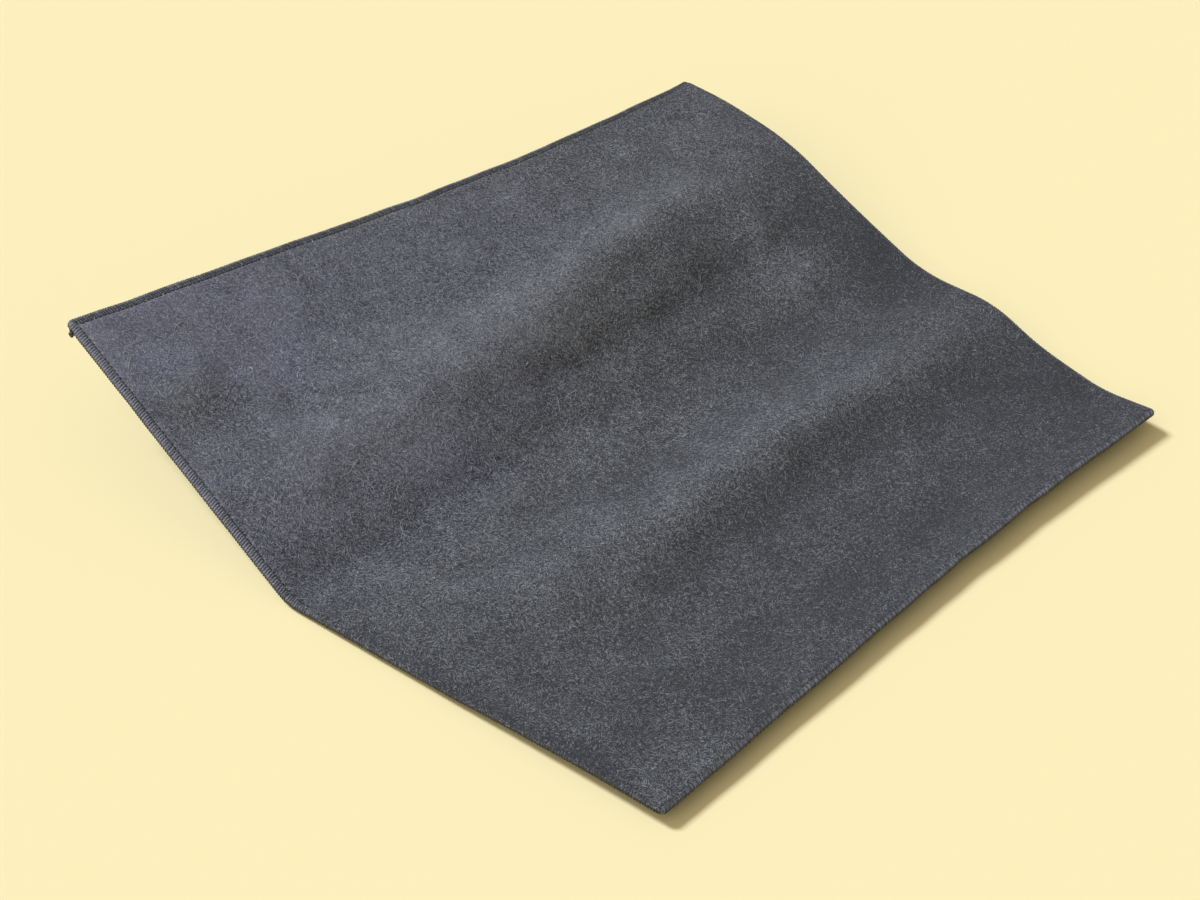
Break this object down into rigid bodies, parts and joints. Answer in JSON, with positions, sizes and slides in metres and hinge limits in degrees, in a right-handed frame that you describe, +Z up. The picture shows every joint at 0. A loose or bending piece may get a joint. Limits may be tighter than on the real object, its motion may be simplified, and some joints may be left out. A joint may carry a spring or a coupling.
{
  "type": "desk pad",
  "caption": "Soft grey felt desk pad with a non-slip backing and an overlocked thread edge, lying in gentle waves with its back end curled up.",
  "frame": {"origin": "middle of the lying pad's box in plan, on the desk", "axes": "+X along the pad's long sides from the near side to the far side, +Y from the front side to the curled back side, +Z up"},
  "size_m": [0.4798, 0.405, 0.0695],
  "materials": {
    "wool_felt": "brushed felt, mottled dark grey, matt",
    "non_slip_backing": "matt, fine dimples",
    "looper_thread": "spun thread, matt",
    "needle_thread": "spun thread, matt"
  },
  "bodies": {
    "root": {"backing_sheet": "non_slip_backing", "felt_face_sheet": "wool_felt", "upper_looper_thread_front": "looper_thread", "lower_looper_thread_front": "looper_thread", "needle_thread_front": "needle_thread", "upper_looper_thread_back": "looper_thread", "lower_looper_thread_back": "looper_thread", "needle_thread_back": "needle_thread", "upper_looper_thread_near": "looper_thread", "lower_looper_thread_near": "looper_thread", "needle_thread_near": "needle_thread", "upper_looper_thread_far": "looper_thread", "lower_looper_thread_far": "looper_thread", "needle_thread_far": "needle_thread", "thread_tail": "looper_thread"}
  },
  "joints": []
}
